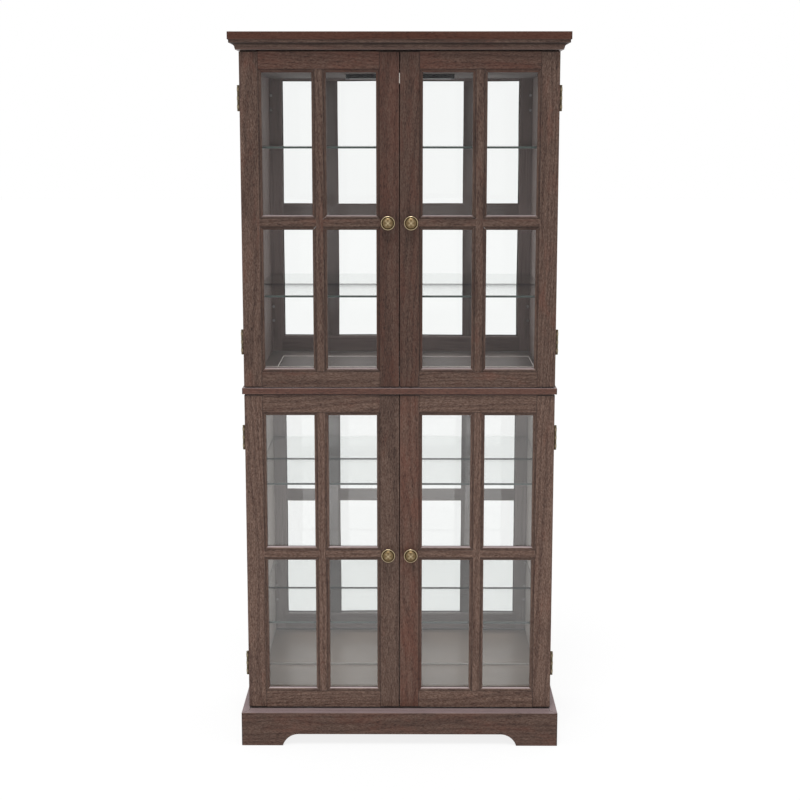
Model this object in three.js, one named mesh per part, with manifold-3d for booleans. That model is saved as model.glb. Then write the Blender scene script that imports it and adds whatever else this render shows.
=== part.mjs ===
// China cabinet with four glass doors, a mirrored back and glass shelves.
// Millimetres, +Z up, front towards -Y. The origin is on the floor, under the middle of the cabinet.
import * as THREE from 'three';
import { mergeVertices } from 'three/addons/utils/BufferGeometryUtils.js';
import Module from 'manifold-3d';

const wasm = await Module();
wasm.setup();

// ---- Driving dimensions -------------------------------------------------------------------

const WIDTH = 800; // over the cornice board
const DEPTH = 355; // from the front of the plinth to the back edges
const HEIGHT = 1738;

const GAP = 0.3; // clearance between neighbouring pieces
const JOIN = 0.1; // how far pieces that are joined into one body run into each other

const PANEL = 15; // thickness of sides, boards and panels
const CASE_HALF = 375.6; // outer face of the side panels
const CASE_FRONT = -122.5; // front edges of the side panels
const BACK = DEPTH / 2;

const PLINTH_HALF = 392;
const PLINTH_FRONT = -DEPTH / 2;
const PLINTH_HEIGHT = 85;
const PLINTH_THICK = 18;
const FRONT_FOOT = 102; // width of a bracket foot on the front
const SIDE_FOOT = 84; // width of a bracket foot on each side
const ARCH_HEIGHT = 29.4;
const ARCH_RUN = 39.4; // length of the curve from the foot to the straight edge of the arch

const MIDDLE_BOARD_Z = 882.5;
const MIDDLE_BOARD_HALF = 380.4;
const TOP_PANEL_Z = 1653;
const HEADER_THICK = 15; // front rail above the top panel

const MOULDING_Z = 1697.8;
const CORNICE_THICK = 18;
const CORNICE_BOARD_Z = HEIGHT - CORNICE_THICK;
const CORNICE_REACH = WIDTH / 2 - CASE_HALF; // how far the top board stands out from the case
const MOULDING_REACH = CORNICE_REACH - 2.7;
const MOULDING_FOOT = 7.9; // how far the lower edge of the moulding stands out

const DOOR_THICK = 20;
const DOOR_FRONT = -144.5;
const DOOR_GAP = 2.4; // between the two doors of a pair
const HINGE_STILE = 51.5; // widths seen from the front, moulded edges included
const MEETING_STILE = 54;
const MUNTIN = 34.8;
const BEAD = 8.8; // width of the moulded edge round each pane
const BEAD_DEPTH = 12; // how far back the moulded edge reaches; the glass sits behind it
const GLASS_THICK = 4;

const KNOB_FROM_GAP = 26.3; // knob centre from the edge of its door
const KNOB_RADIUS = 16.75;

const HINGE_X = 379.8; // hinge pins, just outside the case
const HINGE_Y = -123.5;
const HINGE_RADIUS = 4;
const HINGE_HEIGHT = 61;
const BELLY = 0.7; // how far the middle of a knuckle stands out from its ends
const LEAF_THICK = 0.6;
const LEAF_WIDTH = 14;

const MIRROR_FRONT = 169;
const MIRROR_THICK = 4;
const BACK_SHEET = 3;
const SHELF_THICK = 5;
const SHELF_FRONT = -120;

// Each pair of doors: where it stands, its height, its rails, the hinge heights and the shelves behind.
const TIERS = {
  lower: {
    z: 89,
    height: 790.6,
    railTop: 50.5,
    railBottom: 49,
    hinges: [196.1, 771.7],
    shelves: [300, 654],
  },
  upper: {
    z: 899.7,
    height: 793.8,
    railTop: 48,
    railBottom: 45.5,
    hinges: [1006.7, 1586.9],
    shelves: [1117, 1472],
  },
};
const SIDES = { left: -1, right: 1 };

// ---- Materials ----------------------------------------------------------------------------

const finish = (color, roughness, more) => (name) =>
  new THREE.MeshStandardMaterial({ name, color, roughness, ...more });
const wood = finish(0x4a332b, 0.42);
const glass = finish(0xdfe9e6, 0.03, { transparent: true, opacity: 0.25 });
const mirror = finish(0xf2f4f3, 0.02, { metalness: 1 });
const brass = finish(0x8a7a52, 0.4, { metalness: 1 });
const hardboard = finish(0x5a4437, 0.75);
const ivoryPlastic = finish(0xd8d2c4, 0.5);
const brownPlastic = finish(0x2b211d, 0.5);
const blackPlastic = finish(0x17181a, 0.5);

// ---- Solids -------------------------------------------------------------------------------

/** Six times the signed volume inside a closed mesh. */
function signedVolume(position, index) {
  const corners = [new THREE.Vector3(), new THREE.Vector3(), new THREE.Vector3()];
  let total = 0;
  for (let i = 0; i < index.length; i += 3) {
    corners.forEach((corner, k) => corner.fromBufferAttribute(position, index[i + k]));
    total += corners[0].dot(corners[1].cross(corners[2]));
  }
  return total;
}

/** Merges shared vertices and turns the faces outwards. */
function closed(geometry) {
  geometry.deleteAttribute('normal');
  geometry.deleteAttribute('uv');
  const merged = mergeVertices(geometry);
  const index = merged.index.array;
  if (signedVolume(merged.attributes.position, index) < 0) {
    for (let i = 0; i < index.length; i += 3) [index[i], index[i + 1]] = [index[i + 1], index[i]];
  }
  return merged;
}

function toSolid(geometry) {
  const mesh = closed(geometry);
  return new wasm.Manifold(
    new wasm.Mesh({
      numProp: 3,
      vertProperties: new Float32Array(mesh.attributes.position.array),
      triVerts: new Uint32Array(mesh.index.array),
    }),
  );
}

function toGeometry(solid) {
  const mesh = solid.getMesh();
  const geometry = new THREE.BufferGeometry();
  geometry.setAttribute('position', new THREE.BufferAttribute(mesh.vertProperties, 3));
  geometry.setIndex(new THREE.BufferAttribute(mesh.triVerts, 1));
  return geometry;
}

function joined(geometries) {
  return toGeometry(geometries.map(toSolid).reduce((sum, next) => sum.add(next)));
}

function cut(geometry, tool) {
  return toGeometry(toSolid(geometry).subtract(toSolid(tool)));
}

/** A block given by its lowest and highest corner. */
function block([x0, y0, z0], [x1, y1, z1]) {
  const box = new THREE.BoxGeometry(x1 - x0, y1 - y0, z1 - z0);
  return box.translate((x0 + x1) / 2, (y0 + y1) / 2, (z0 + z1) / 2);
}

/**
 * Runs an outline drawn in (out, up) along a straight line. The ends lie at start(out) and end(out), so
 * they can be mitred, and place(along, out, up) gives each point of the run.
 */
function run(outline, start, end, place, curveSegments = 5) {
  const strip = new THREE.ExtrudeGeometry(outline, { depth: 1, bevelEnabled: false, curveSegments });
  const points = strip.attributes.position;
  for (let i = 0; i < points.count; i++) {
    const out = points.getX(i);
    const along = THREE.MathUtils.lerp(start(out), end(out), points.getZ(i));
    points.setXYZ(i, ...place(along, out, points.getY(i)));
  }
  return strip;
}

function part(name, geometry, material) {
  const mesh = new THREE.Mesh(geometry, material(name));
  mesh.name = name;
  return mesh;
}

// ---- Plinth -------------------------------------------------------------------------------

/** One plinth board seen flat: bracket feet at both ends, and a low arch with curved corners between. */
function plinthOutline(from, to, foot) {
  const radius = (ARCH_RUN ** 2 + ARCH_HEIGHT ** 2) / (2 * ARCH_HEIGHT);
  const centreZ = ARCH_HEIGHT - radius;
  const spread = Math.asin(ARCH_RUN / radius);
  const archFrom = from + foot + ARCH_RUN;
  const archTo = to - foot - ARCH_RUN;
  const up = Math.PI / 2;
  const outline = new THREE.Shape();
  outline.moveTo(from, PLINTH_HEIGHT);
  outline.lineTo(from, 0);
  outline.absarc(archFrom, centreZ, radius, up + spread, up, true);
  outline.absarc(archTo, centreZ, radius, up, up - spread, true);
  outline.lineTo(to, 0);
  outline.lineTo(to, PLINTH_HEIGHT);
  return outline;
}

/** Extrudes a plinth board inwards and slants the named ends back at 45 degrees. */
function plinthBoard(from, to, foot, mitres, place) {
  const options = { depth: PLINTH_THICK, bevelEnabled: false, curveSegments: 8 };
  const board = new THREE.ExtrudeGeometry(plinthOutline(from, to, foot), options);
  const points = board.attributes.position;
  for (let i = 0; i < points.count; i++) {
    const along = points.getX(i);
    const inwards = points.getZ(i);
    const slant = mitres.includes(along) ? Math.sign(along) * -(inwards + GAP / 2) : 0;
    points.setXYZ(i, ...place(along + slant, inwards, points.getY(i)));
  }
  return closed(board);
}

function plinth() {
  const group = new THREE.Group();
  const front = plinthBoard(
    -PLINTH_HALF,
    PLINTH_HALF,
    FRONT_FOOT,
    [-PLINTH_HALF, PLINTH_HALF],
    (along, inwards, up) => [along, PLINTH_FRONT + inwards, up],
  );
  group.add(part('plinth_front', front, wood));
  for (const [name, side] of Object.entries(SIDES)) {
    const board = plinthBoard(PLINTH_FRONT, BACK, SIDE_FOOT, [PLINTH_FRONT], (along, inwards, up) => [
      side * (PLINTH_HALF - inwards),
      along,
      up,
    ]);
    group.add(part(`plinth_${name}`, board, wood));
  }
  const inside = PLINTH_HALF - PLINTH_THICK - GAP;
  const baseFront = PLINTH_FRONT + PLINTH_THICK + GAP;
  const base = block([-inside, baseFront, PLINTH_HEIGHT - PANEL], [inside, BACK, PLINTH_HEIGHT]);
  group.add(part('base_board', base, wood));
  return group;
}

// ---- Case ---------------------------------------------------------------------------------

const INNER_HALF = CASE_HALF - PANEL;
const MIRROR_BACK = MIRROR_FRONT + MIRROR_THICK;
const SHEET_FRONT = MIRROR_BACK + GAP;
const MIDDLE_BOARD_TOP = MIDDLE_BOARD_Z + PANEL;

function sidePanels() {
  const group = new THREE.Group();
  const heights = {
    lower: [PLINTH_HEIGHT + GAP, MIDDLE_BOARD_Z - GAP],
    upper: [MIDDLE_BOARD_TOP + GAP, CORNICE_BOARD_Z - GAP],
  };
  for (const [tier, [bottom, top]] of Object.entries(heights)) {
    for (const [name, side] of Object.entries(SIDES)) {
      const panel = block([-PANEL / 2, CASE_FRONT, bottom], [PANEL / 2, BACK, top]);
      const mesh = part(`${tier}_side_${name}`, panel, wood);
      mesh.position.x = side * (CASE_HALF - PANEL / 2);
      group.add(mesh);
    }
  }
  return group;
}

/** The board between the tiers, cut back behind so that the back sheet passes it in one piece. */
function middleBoard() {
  const front = DOOR_FRONT - (MIDDLE_BOARD_HALF - CASE_HALF);
  const board = block(
    [-MIDDLE_BOARD_HALF, front, MIDDLE_BOARD_Z],
    [MIDDLE_BOARD_HALF, BACK, MIDDLE_BOARD_TOP],
  );
  const past = 1;
  const clearance = block(
    [-INNER_HALF, MIRROR_BACK, MIDDLE_BOARD_Z - past],
    [INNER_HALF, BACK + past, MIDDLE_BOARD_TOP + past],
  );
  return part('middle_board', cut(board, clearance), wood);
}

/** Ceiling of the upper tier with the header rail glued on its front edge. */
function topPanel() {
  const half = INNER_HALF - GAP;
  const ceiling = block([-half, CASE_FRONT, TOP_PANEL_Z], [half, MIRROR_BACK, TOP_PANEL_Z + PANEL]);
  const header = block(
    [-half, CASE_FRONT, TOP_PANEL_Z + PANEL - JOIN],
    [half, CASE_FRONT + HEADER_THICK, CORNICE_BOARD_Z - GAP],
  );
  return part('top_panel', joined([ceiling, header]), wood);
}

function backs() {
  const half = INNER_HALF - GAP;
  const tiers = {
    lower: [PLINTH_HEIGHT + GAP, MIDDLE_BOARD_Z - GAP],
    upper: [MIDDLE_BOARD_TOP + GAP, TOP_PANEL_Z - GAP],
  };
  const group = new THREE.Group();
  for (const [tier, [bottom, top]] of Object.entries(tiers)) {
    const sheet = block([-half, MIRROR_FRONT, bottom], [half, MIRROR_BACK, top]);
    group.add(part(`mirror_${tier}`, sheet, mirror));
  }
  const sheet = block(
    [-half, SHEET_FRONT, PLINTH_HEIGHT + GAP],
    [half, SHEET_FRONT + BACK_SHEET, CORNICE_BOARD_Z - GAP],
  );
  group.add(part('back_panel', sheet, hardboard));
  return group;
}

function shelves() {
  const group = new THREE.Group();
  const half = INNER_HALF - GAP;
  const depth = MIRROR_FRONT - GAP - SHELF_FRONT;
  for (const [tier, { shelves: heights }] of Object.entries(TIERS)) {
    heights.forEach((z, i) => {
      const sheet = new THREE.BoxGeometry(2 * half, depth, SHELF_THICK);
      const shelf = part(`shelf_${tier}_${i + 1}`, sheet, glass);
      shelf.position.set(0, SHELF_FRONT + depth / 2, z);
      group.add(shelf);
    });
  }
  return group;
}

const CATCH_HALF = 23; // half the width of a magnetic catch
const CATCH_DEPTH = 16;
const CATCHES = {
  upper: { top: TOP_PANEL_Z, drop: 34, plastic: ivoryPlastic },
  lower: { top: MIDDLE_BOARD_Z, drop: 14, plastic: brownPlastic },
};
const LIGHT_BAR = { half: 137.5, front: 150, back: 167, drop: 11 };

/** Magnetic catches behind the meeting doors and the light bar under the ceiling. */
function fittings() {
  const group = new THREE.Group();
  const front = CASE_FRONT + 1;
  for (const [tier, { top, drop, plastic }] of Object.entries(CATCHES)) {
    const body = block(
      [-CATCH_HALF, front, top - GAP - drop],
      [CATCH_HALF, front + CATCH_DEPTH, top - GAP],
    );
    group.add(part(`catch_${tier}`, body, plastic));
  }
  const bar = block(
    [-LIGHT_BAR.half, LIGHT_BAR.front, TOP_PANEL_Z - GAP - LIGHT_BAR.drop],
    [LIGHT_BAR.half, LIGHT_BAR.back, TOP_PANEL_Z - GAP],
  );
  group.add(part('light_bar', bar, blackPlastic));
  return group;
}

// ---- Cornice ------------------------------------------------------------------------------

/** Section of the moulding: a small foot, a cove, a rounded nose and a flat fillet under the board. */
function mouldingOutline(inner) {
  const top = CORNICE_BOARD_Z - GAP - MOULDING_Z;
  const footHeight = 3;
  const nose = 1.5;
  const fillet = 5.8;
  const coveFrom = MOULDING_FOOT + 0.8;
  const coveTo = MOULDING_REACH - nose;
  const coveTop = top - fillet - nose;
  const outline = new THREE.Shape();
  outline.moveTo(inner, 0);
  outline.lineTo(MOULDING_FOOT, 0);
  outline.lineTo(MOULDING_FOOT, footHeight);
  outline.absellipse(
    coveTo,
    footHeight,
    coveTo - coveFrom,
    coveTop - footHeight,
    Math.PI,
    Math.PI / 2,
    true,
  );
  outline.absarc(coveTo, coveTop + nose, nose, -Math.PI / 2, 0, false);
  outline.lineTo(MOULDING_REACH, top);
  outline.lineTo(inner, top);
  return outline;
}

function cornice() {
  const group = new THREE.Group();
  const clearance = GAP * Math.SQRT1_2;
  const outline = mouldingOutline(GAP);
  const segments = 8;

  const frontRun = run(
    outline,
    (out) => -CASE_HALF - out + clearance,
    (out) => CASE_HALF + out - clearance,
    (along, out, up) => [along, DOOR_FRONT - out, MOULDING_Z + up],
    segments,
  );
  const core = block(
    [-CASE_HALF, DOOR_FRONT - GAP - JOIN, MOULDING_Z],
    [CASE_HALF, CASE_FRONT - GAP, CORNICE_BOARD_Z - GAP],
  );
  group.add(part('cornice_moulding_front', joined([frontRun, core]), wood));

  for (const [name, side] of Object.entries(SIDES)) {
    const sideRun = run(
      outline,
      (out) => DOOR_FRONT - out + clearance,
      () => BACK,
      (along, out, up) => [side * (CASE_HALF + out), along, MOULDING_Z + up],
      segments,
    );
    group.add(part(`cornice_moulding_${name}`, closed(sideRun), wood));
  }

  const board = block(
    [-WIDTH / 2, DOOR_FRONT - CORNICE_REACH, CORNICE_BOARD_Z],
    [WIDTH / 2, BACK, HEIGHT],
  );
  group.add(part('cornice_board', board, wood));
  return group;
}

// ---- Doors --------------------------------------------------------------------------------

const DOOR_WIDTH = CASE_HALF - DOOR_GAP / 2;
const HINGE_FLAT = HINGE_STILE - BEAD; // flat width of a stile
const MEETING_FLAT = MEETING_STILE - BEAD;
const FLAT_EDGE = (DOOR_WIDTH - HINGE_FLAT - MEETING_FLAT) / 2; // of a stile, from the panes' middle
const BAR_HALF = MUNTIN / 2 - BEAD; // half of the flat part of a muntin

/** Section of the moulded edge: a small step down from the face, then a quarter round towards the pane. */
function beadOutline() {
  const step = 1.2;
  const lip = 0.8;
  const roundDepth = 8;
  const outline = new THREE.Shape();
  outline.moveTo(0, BEAD_DEPTH);
  outline.lineTo(0, step);
  outline.absellipse(lip, roundDepth, BEAD - lip, roundDepth - step, -Math.PI / 2, 0, false);
  outline.lineTo(BEAD, BEAD_DEPTH);
  return outline;
}

/** Moulded edges along X on a member whose edge is at z, one for each [from, to] span. */
function beadsAlongX(spans, z, towards) {
  return spans.map(([from, to]) =>
    run(
      beadOutline(),
      (out) => from + out + GAP / 2,
      (out) => to - out - GAP / 2,
      (along, out, depth) => [along, depth, z + towards * out],
    ),
  );
}

/** Moulded edges along Z on a member whose edge is at x, one for each [from, to] span. */
function beadsAlongZ(spans, x, towards) {
  return spans.map(([from, to]) =>
    run(
      beadOutline(),
      (out) => from + out + GAP / 2,
      (out) => to - out - GAP / 2,
      (along, out, depth) => [x + towards * out, depth, along],
    ),
  );
}

/** The spans of a door's panes, flat edge to flat edge, in the door's own frame. */
function paneSpans({ height, railTop, railBottom }) {
  const bottom = railBottom - BEAD;
  const top = height - railTop + BEAD;
  const middle = (bottom + top) / 2;
  return {
    columns: [
      [-FLAT_EDGE, -BAR_HALF],
      [BAR_HALF, FLAT_EDGE],
    ],
    rows: [
      [bottom, middle - BAR_HALF],
      [middle + BAR_HALF, top],
    ],
    bottom,
    top,
    middle,
  };
}

/** Full-height upright of the frame; side is -1 or 1, the edge of the door that it stands on. */
function stile(side, flat, tier) {
  const { rows } = paneSpans(tier);
  const inner = side * (FLAT_EDGE - JOIN);
  const outer = side * (FLAT_EDGE + flat);
  const core = block([Math.min(inner, outer), 0, 0], [Math.max(inner, outer), DOOR_THICK, tier.height]);
  return joined([core, ...beadsAlongZ(rows, side * FLAT_EDGE, -side)]);
}

/** Cross rail between the stiles, with its moulded edge towards the panes. */
function rail(from, to, towards, tier) {
  const { columns } = paneSpans(tier);
  const half = FLAT_EDGE - GAP;
  const [low, high] = towards > 0 ? [from, to + JOIN] : [from - JOIN, to];
  const core = block([-half, 0, low], [half, DOOR_THICK, high]);
  return joined([core, ...beadsAlongX(columns, towards > 0 ? to : from, towards)]);
}

/** The glazing bars: one upright and one crossbar, moulded on both sides, in front of the glass. */
function grille(tier) {
  const { columns, rows, bottom, top, middle } = paneSpans(tier);
  const bar = BAR_HALF + JOIN;
  const reach = FLAT_EDGE - GAP;
  return joined([
    block([-bar, 0, bottom + GAP], [bar, BEAD_DEPTH, top - GAP]),
    block([-reach, 0, middle - bar], [reach, BEAD_DEPTH, middle + bar]),
    ...beadsAlongZ(rows, -BAR_HALF, -1),
    ...beadsAlongZ(rows, BAR_HALF, 1),
    ...beadsAlongX(columns, middle - BAR_HALF, -1),
    ...beadsAlongX(columns, middle + BAR_HALF, 1),
  ]);
}

/** Round knob, turned about its own axis: a foot, a neck, a wide rim and a domed middle. */
function knobGeometry() {
  const radiusAndOut = [
    [0, 0],
    [9, 0],
    [9, 2],
    [6, 5],
    [6, 10],
    [12, 14],
    [KNOB_RADIUS, 17],
    [KNOB_RADIUS, 19],
    [14.2, 20.6],
    [11.5, 20.2],
    [9.5, 22.6],
    [5, 24.6],
    [0, 25],
  ];
  const profile = radiusAndOut.map(([radius, out]) => new THREE.Vector2(radius, out));
  return closed(new THREE.LatheGeometry(profile, 20));
}

/** One door, in a group whose origin is on its front, at its lower edge, under the middle of its panes. */
function door(tierName, sideName) {
  const tier = TIERS[tierName];
  const side = SIDES[sideName];
  const name = `door_${tierName}_${sideName}`;
  const { bottom, top, middle } = paneSpans(tier);
  const group = new THREE.Group();
  const fromMeetingEdge = MEETING_FLAT + FLAT_EDGE;
  group.position.set(side * (DOOR_GAP / 2 + fromMeetingEdge), DOOR_FRONT, tier.z);

  group.add(part(`${name}_hinge_stile`, stile(side, HINGE_FLAT, tier), wood));
  group.add(part(`${name}_meeting_stile`, stile(-side, MEETING_FLAT, tier), wood));
  group.add(part(`${name}_bottom_rail`, rail(0, bottom, 1, tier), wood));
  group.add(part(`${name}_top_rail`, rail(top, tier.height, -1, tier), wood));
  group.add(part(`${name}_grille`, grille(tier), wood));

  const clearance = 1;
  const paneSize = [2 * (FLAT_EDGE - clearance), GLASS_THICK, top - bottom - 2 * clearance];
  const pane = part(`${name}_glass`, new THREE.BoxGeometry(...paneSize), glass);
  pane.position.set(0, BEAD_DEPTH + GAP + GLASS_THICK / 2, middle);
  group.add(pane);

  const knob = part(`${name}_knob`, knobGeometry(), brass);
  knob.rotation.x = Math.PI;
  knob.position.set(side * (KNOB_FROM_GAP - fromMeetingEdge), -GAP, middle);
  group.add(knob);
  return group;
}

// ---- Hinges -------------------------------------------------------------------------------

/** Three rounded knuckles on one pin, turned about Z. */
function barrel() {
  const knuckles = 3;
  const waist = HINGE_RADIUS - BELLY;
  const length = HINGE_HEIGHT / knuckles;
  const profile = [new THREE.Vector2(0, 0), new THREE.Vector2(waist, 0)];
  for (let i = 0; i < knuckles; i++) {
    profile.push(new THREE.Vector2(HINGE_RADIUS, (i + 0.5) * length));
    profile.push(new THREE.Vector2(waist, (i + 1) * length));
  }
  profile.push(new THREE.Vector2(0, HINGE_HEIGHT));
  return new THREE.LatheGeometry(profile, 12).rotateX(Math.PI / 2).translate(0, 0, -HINGE_HEIGHT / 2);
}

/** The barrel with the leaf that is screwed to the front edge of the case; side is -1 or 1. */
function hingeGeometry(side) {
  const caseFace = CASE_FRONT - HINGE_Y - GAP;
  const inner = side * -LEAF_WIDTH - side * HINGE_RADIUS;
  const outer = side * -(HINGE_RADIUS / 2);
  const leaf = block(
    [Math.min(inner, outer), caseFace - LEAF_THICK, -HINGE_HEIGHT / 2],
    [Math.max(inner, outer), caseFace, HINGE_HEIGHT / 2],
  );
  return joined([barrel(), leaf]);
}

function hinges() {
  const group = new THREE.Group();
  for (const [tierName, tier] of Object.entries(TIERS)) {
    for (const [sideName, side] of Object.entries(SIDES)) {
      tier.hinges.forEach((z, i) => {
        const hinge = part(`hinge_${tierName}_${sideName}_${i + 1}`, hingeGeometry(side), brass);
        hinge.position.set(side * HINGE_X, HINGE_Y, z);
        group.add(hinge);
      });
    }
  }
  return group;
}

// ---- The cabinet --------------------------------------------------------------------------

const cabinet = new THREE.Group();
cabinet.add(plinth(), sidePanels(), middleBoard(), topPanel(), backs());
cabinet.add(shelves(), fittings(), cornice(), hinges());
for (const tierName of Object.keys(TIERS)) {
  for (const sideName of Object.keys(SIDES)) {
    cabinet.add(door(tierName, sideName));
  }
}

export default cabinet;
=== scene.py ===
import math
import random

import bpy
from mathutils import Euler, Matrix, Vector


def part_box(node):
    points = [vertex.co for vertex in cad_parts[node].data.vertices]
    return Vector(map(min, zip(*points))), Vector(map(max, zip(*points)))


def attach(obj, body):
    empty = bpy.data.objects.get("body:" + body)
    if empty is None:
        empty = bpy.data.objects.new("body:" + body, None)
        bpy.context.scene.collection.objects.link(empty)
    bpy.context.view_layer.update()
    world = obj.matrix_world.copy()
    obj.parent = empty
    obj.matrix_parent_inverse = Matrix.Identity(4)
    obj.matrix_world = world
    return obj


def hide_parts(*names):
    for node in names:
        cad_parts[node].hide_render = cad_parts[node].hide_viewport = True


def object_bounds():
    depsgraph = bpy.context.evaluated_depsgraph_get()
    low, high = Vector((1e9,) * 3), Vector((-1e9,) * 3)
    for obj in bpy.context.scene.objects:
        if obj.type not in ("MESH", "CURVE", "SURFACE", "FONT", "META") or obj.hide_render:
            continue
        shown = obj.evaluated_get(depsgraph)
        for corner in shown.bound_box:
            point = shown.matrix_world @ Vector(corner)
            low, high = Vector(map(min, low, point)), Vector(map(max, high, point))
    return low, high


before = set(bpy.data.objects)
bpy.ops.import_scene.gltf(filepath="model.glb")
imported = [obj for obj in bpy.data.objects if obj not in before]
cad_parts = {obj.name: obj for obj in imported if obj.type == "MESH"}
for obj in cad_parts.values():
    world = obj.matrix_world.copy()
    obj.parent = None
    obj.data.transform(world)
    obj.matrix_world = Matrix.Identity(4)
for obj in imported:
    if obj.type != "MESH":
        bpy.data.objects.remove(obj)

CAD_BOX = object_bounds()
CASE_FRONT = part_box("lower_side_left")[0].y
DOOR_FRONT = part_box("door_lower_left_top_rail")[0].y

MM = 0.001
TIERS = ("lower", "upper")
SIDES = {"left": -1, "right": 1}
DOORS = [(tier, side) for tier in TIERS for side in SIDES]
FACING_FRONT = Matrix.Rotation(math.pi / 2, 4, "X")  # turns a piece's own Z to the front
FACING_BACK = Matrix.Rotation(-math.pi / 2, 4, "X")


def millimetres(node):
    """The low and the high corner of a CAD node's box, in millimetres."""
    return [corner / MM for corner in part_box(node)]


def scaled(colour, factor):
    return tuple(part * factor for part in colour)


# ---- Node trees ---------------------------------------------------------------------------


class Tree:
    """A material's node tree with short calls for adding and linking nodes."""

    def __init__(self, name, roughness=0.5, metallic=0.0):
        self.material = bpy.data.materials.new(name)
        self.material.use_nodes = True
        self.nodes = self.material.node_tree.nodes
        self.links = self.material.node_tree.links
        self.surface = self.nodes["Principled BSDF"]
        self.set(self.surface, Roughness=roughness, Metallic=metallic)

    def put(self, socket, value):
        if isinstance(value, bpy.types.NodeSocket):
            self.links.new(value, socket)
        elif isinstance(value, (tuple, list)) and len(value) == 3 and socket.type == "RGBA":
            socket.default_value = (*value, 1.0)
        else:
            socket.default_value = value

    def set(self, node, **values):
        for name, value in values.items():
            self.put(node.inputs[name.replace("_", " ")], value)

    def add(self, kind, *values, **settings):
        """A new node: values go to its inputs in order, settings to its properties."""
        node = self.nodes.new("ShaderNode" + kind)
        for name, value in settings.items():
            setattr(node, name, value)
        for socket, value in zip(node.inputs, values):
            self.put(socket, value)
        return node

    def math(self, operation, *values, clamp=False):
        return self.add("Math", *values, operation=operation, use_clamp=clamp).outputs[0]

    def times(self, product, *factors):
        for factor in factors:
            product = self.math("MULTIPLY", product, factor)
        return product

    def inverse(self, value):
        return self.math("SUBTRACT", 1.0, value)

    def radius(self, x, y):
        return self.math("SQRT", self.math("ADD", self.math("POWER", x, 2), self.math("POWER", y, 2)))

    def vector(self, operation, *values):
        return self.add("VectorMath", *values, operation=operation).outputs[0]

    def coordinates(self):
        return self.add("TexCoord").outputs["Object"]

    def normal(self):
        return self.add("TexCoord").outputs["Normal"]

    def split(self, vector):
        return list(self.add("SeparateXYZ", vector).outputs)

    def noise(self, vector, scale=1.0, detail=2.0, roughness=0.5, output="Fac"):
        """scale is one number, or one for each axis."""
        if isinstance(scale, tuple):
            vector, scale = self.vector("MULTIPLY", vector, scale), 1.0
        node = self.add("TexNoise")
        self.set(node, Vector=vector, Scale=scale, Detail=detail, Roughness=roughness)
        return node.outputs[output]

    def mix(self, factor, a, b, blend="MIX"):
        """Two colours mixed."""
        node = self.add("Mix", data_type="RGBA", blend_type=blend)
        self.put(node.inputs["Factor"], factor)
        self.put(node.inputs[6], a)
        self.put(node.inputs[7], b)
        return node.outputs[2]

    def mix_vectors(self, factor, a, b):
        node = self.add("Mix", data_type="VECTOR")
        self.put(node.inputs["Factor"], factor)
        self.put(node.inputs[4], a)
        self.put(node.inputs[5], b)
        return node.outputs[1]

    def smooth(self, value, low, high, to_low=0.0, to_high=1.0):
        """value eased from to_low to to_high as it goes from low to high."""
        node = self.add("MapRange", value, low, high, to_low, to_high, interpolation_type="SMOOTHSTEP")
        return node.outputs[0]

    def band(self, value, rise, fall):
        """0 up to a band, 1 within it and 0 beyond. rise and fall are the stretches where it changes."""
        return self.times(self.smooth(value, *rise), self.smooth(value, fall[1], fall[0]))

    def bump(self, height, distance, strength=1.0):
        node = self.add("Bump")
        self.set(node, Height=height, Distance=distance, Strength=strength)
        self.put(self.surface.inputs["Normal"], node.outputs[0])


# ---- Oak ----------------------------------------------------------------------------------

OAK_DARK = (0.026, 0.0115, 0.0085)
OAK_MID = (0.062, 0.0323, 0.0226)
OAK_PALE = (0.132, 0.0862, 0.0665)
OAK_RED = (0.125, 0.040, 0.025)
# Pores; also the painted shade in mouldings and coves and the painted shadow under the doors.
OAK_PORE_AND_SHADE = (0.011, 0.0055, 0.0045)
# Pale rubbed wood; also the painted highlight at the foot of a cove.
OAK_RUBBED_AND_LIT = (0.19, 0.115, 0.095)
# A painted highlight on the upward faces of beads.
BEAD_HIGHLIGHT = (0.27, 0.222, 0.226)
# A painted reflection of the studio on ledges.
LEDGE_REFLECTION = (0.195, 0.146, 0.152)
SHEEN_TINT = (1.0, 0.88, 0.85)

# Noise scales: twice across the grain, then along it.
GRAIN_WANDER = (6, 6, 2.2)
RING_WOBBLE = (45, 45, 5)
STREAKS = (400, 400, 26)
MOTTLE = (560, 560, 170)
PORES = (900, 900, 90)
PATCHES = (34, 34, 9)
LINING_FILM = (46, 46, 5)
LINING_FIBRES = (280, 280, 9)

WANDER = 0.03  # how far the grain strays
WOBBLE = 0.004  # how far a ring strays
RING_SPACING = (0.0065, 0.0095)
HEART_ASIDE = 0.03  # at most, from the middle of the board
HEART_DEPTH = (0.015, 0.06)  # in front of or behind the middle of the board
LEAN = 0.06  # at most, of the log against the board

BAR_HALF = 17.4 * MM  # half the width of a glazing bar
BAR_FLAT_HALF = 8.6 * MM  # without its moulded edges
GAP_SHADE_MARGIN = 8 * MM  # of painted shade: the unlined backs of the meeting stiles along the gap between the doors
FADE = 1 * MM  # over which a lining, a painted reflection or a painted shadow ends
QUIRK = ((0.4 * MM, 1.0 * MM), (1.6 * MM, 2.8 * MM))  # bands of a moulded edge, behind its front face
SWELL = ((2.8 * MM, 4.2 * MM), (6.8 * MM, 7.8 * MM))
LIP = ((7.0 * MM, 8.2 * MM), (12.5 * MM, 13.5 * MM))
GRAIN_TURNS = {"X": (0, math.pi / 2, 0), "Y": (math.pi / 2, 0, 0), "Z": (0, 0, 0)}


def log_space(tree, position, grain, box, heart):
    """Coordinates with Z along the board's grain and the heart of its log at a chosen place."""
    middle = Euler(GRAIN_TURNS[grain]).to_matrix() @ ((box[0] + box[1]) / 2)
    return tree.add("Mapping", position, heart - middle, GRAIN_TURNS[grain], (1, 1, 1)).outputs[0]


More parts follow.
